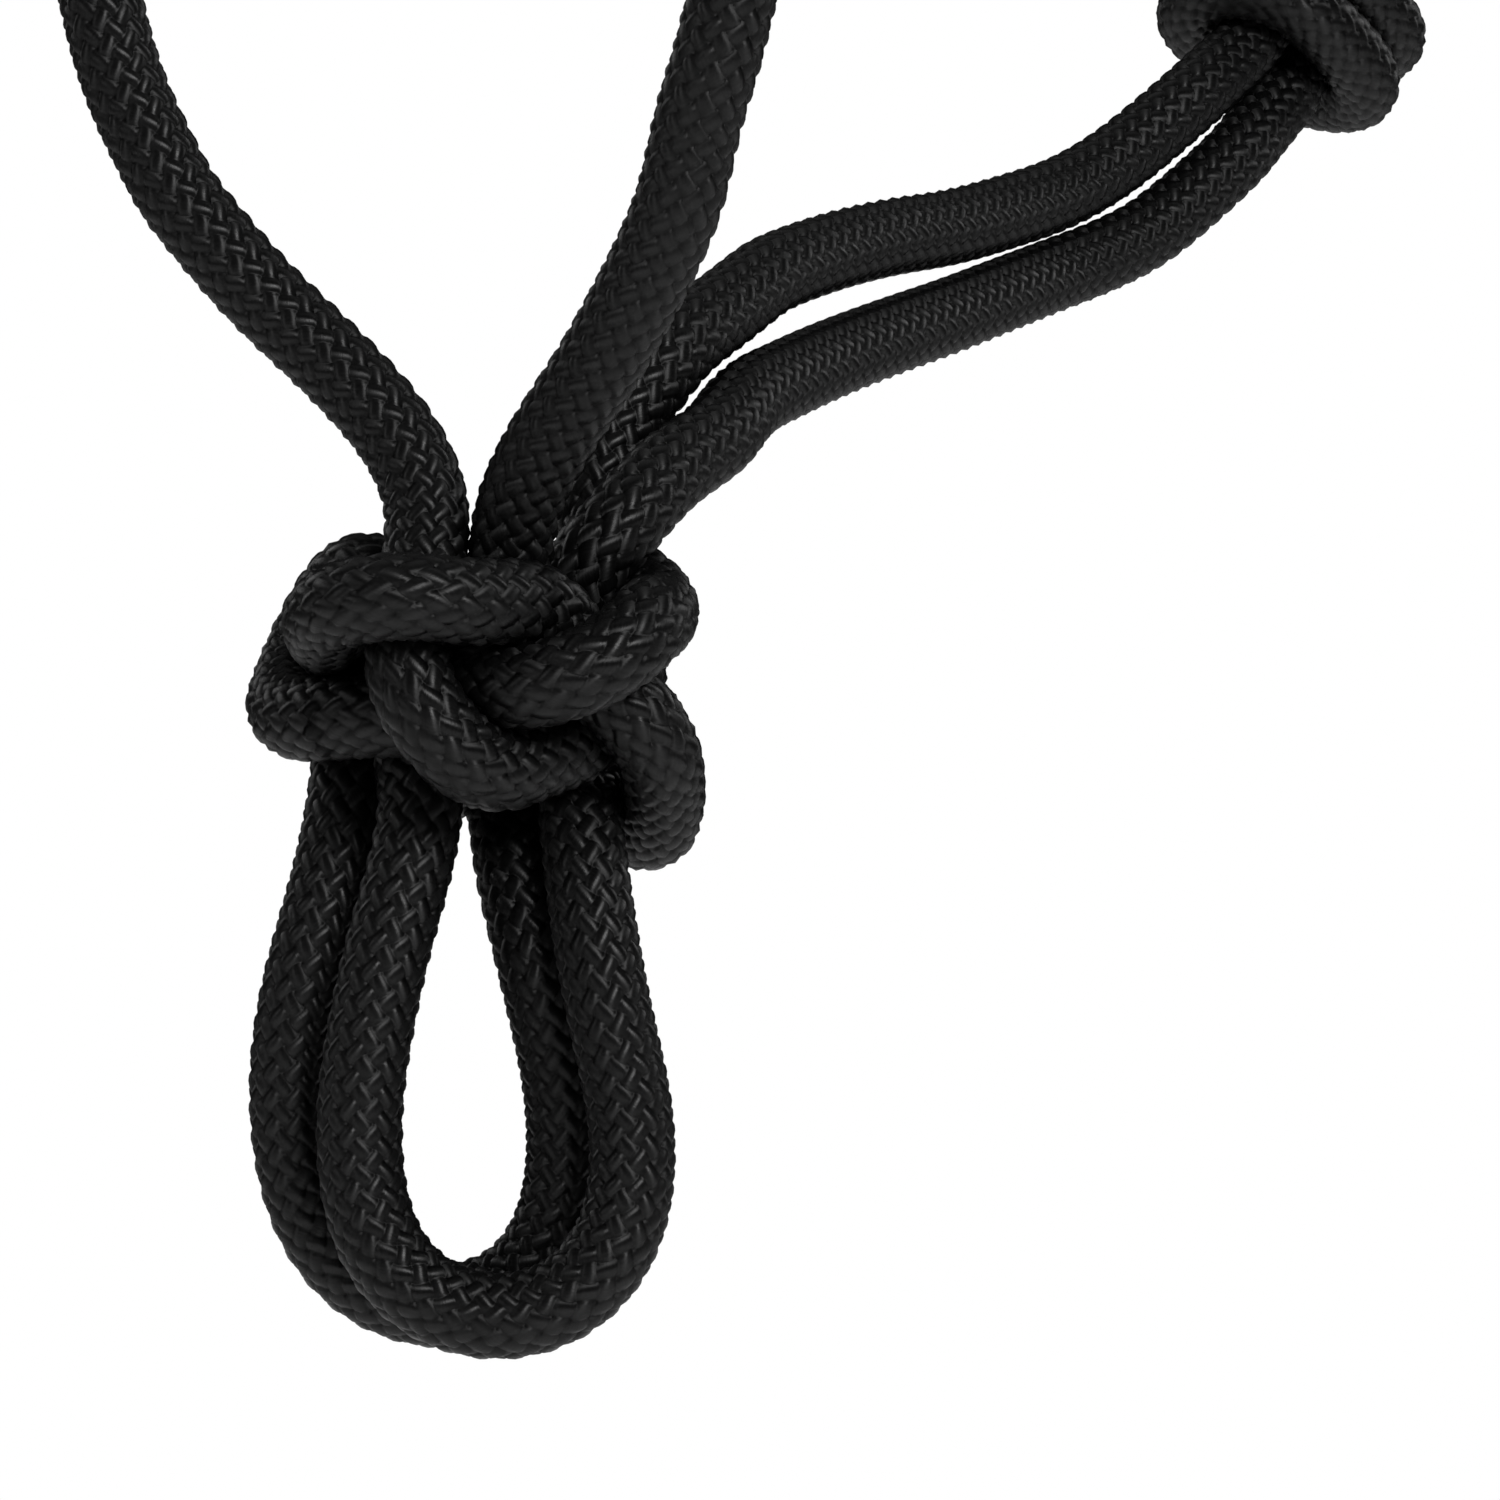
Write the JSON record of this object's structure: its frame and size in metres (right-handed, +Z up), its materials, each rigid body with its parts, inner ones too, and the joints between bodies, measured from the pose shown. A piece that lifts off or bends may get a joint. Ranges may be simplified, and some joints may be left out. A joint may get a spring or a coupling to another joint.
{
  "type": "rope halter",
  "caption": "Horse halter tied from one continuous braided cord: fiador knot with lead loops, chin, cheek and throat knots, noseband, and a crown that ties at the left.",
  "frame": {"origin": "underside of the crown's middle, where it rests on the horse's poll", "axes": "+Z up, +X forward towards the horse's nose, +Y to the horse's left, where the crown ties"},
  "size_m": [0.3099, 0.2235, 0.5181],
  "materials": {
    "cord": "satin braided black polyester cord",
    "whipping": "whipped and heat-sealed cord end"
  },
  "bodies": {
    "halter": {"cheek_knot_left_cheek_pass": "cord", "cheek_knot_left_jaw_pass": "cord", "cheek_knot_right_cheek_pass": "cord", "cheek_knot_right_jaw_pass": "cord", "cheek_piece_left": "cord", "cheek_piece_right": "cord", "chin_knot_lower_pass": "cord", "chin_knot_upper_pass": "cord", "chin_strand_left": "cord", "chin_strand_right": "cord", "crown_eye_loop": "cord", "crown_strand_front": "cord", "crown_strand_rear": "cord", "fiador_left_chin_pass": "cord", "fiador_left_throat_pass": "cord", "fiador_right_chin_pass": "cord", "fiador_right_throat_pass": "cord", "jaw_strand_left": "cord", "jaw_strand_right": "cord", "noseband_lower": "cord", "noseband_upper": "cord", "throat_knot_left_cheek_pass": "cord", "throat_knot_left_throat_pass": "cord", "throat_knot_right_cheek_pass": "cord", "throat_knot_right_throat_pass": "cord", "throat_strand_left": "cord", "throat_strand_right": "cord", "tie_knot_front_pass": "cord", "tie_knot_rear_pass": "cord"},
    "lead_loops": {"lead_loop_front": "cord", "lead_loop_rear": "cord"},
    "tails": {"tail_front": "cord", "tail_rear": "cord", "tail_whipping_front": "whipping", "tail_whipping_rear": "whipping"}
  },
  "joints": [
    {"name": "lead_loop_swing", "type": "hinge", "parent": "halter", "child": "lead_loops", "pos_m": [0.02457, 0.00072, -0.47645], "axis": [0.5736, -0.8192, 0], "range_deg": [-16, 16]},
    {"name": "tail_swing", "type": "hinge", "parent": "halter", "child": "tails", "pos_m": [0.01464, 0.1111, -0.18194], "axis": [1, 0, 0], "range_deg": [0, 40]}
  ]
}
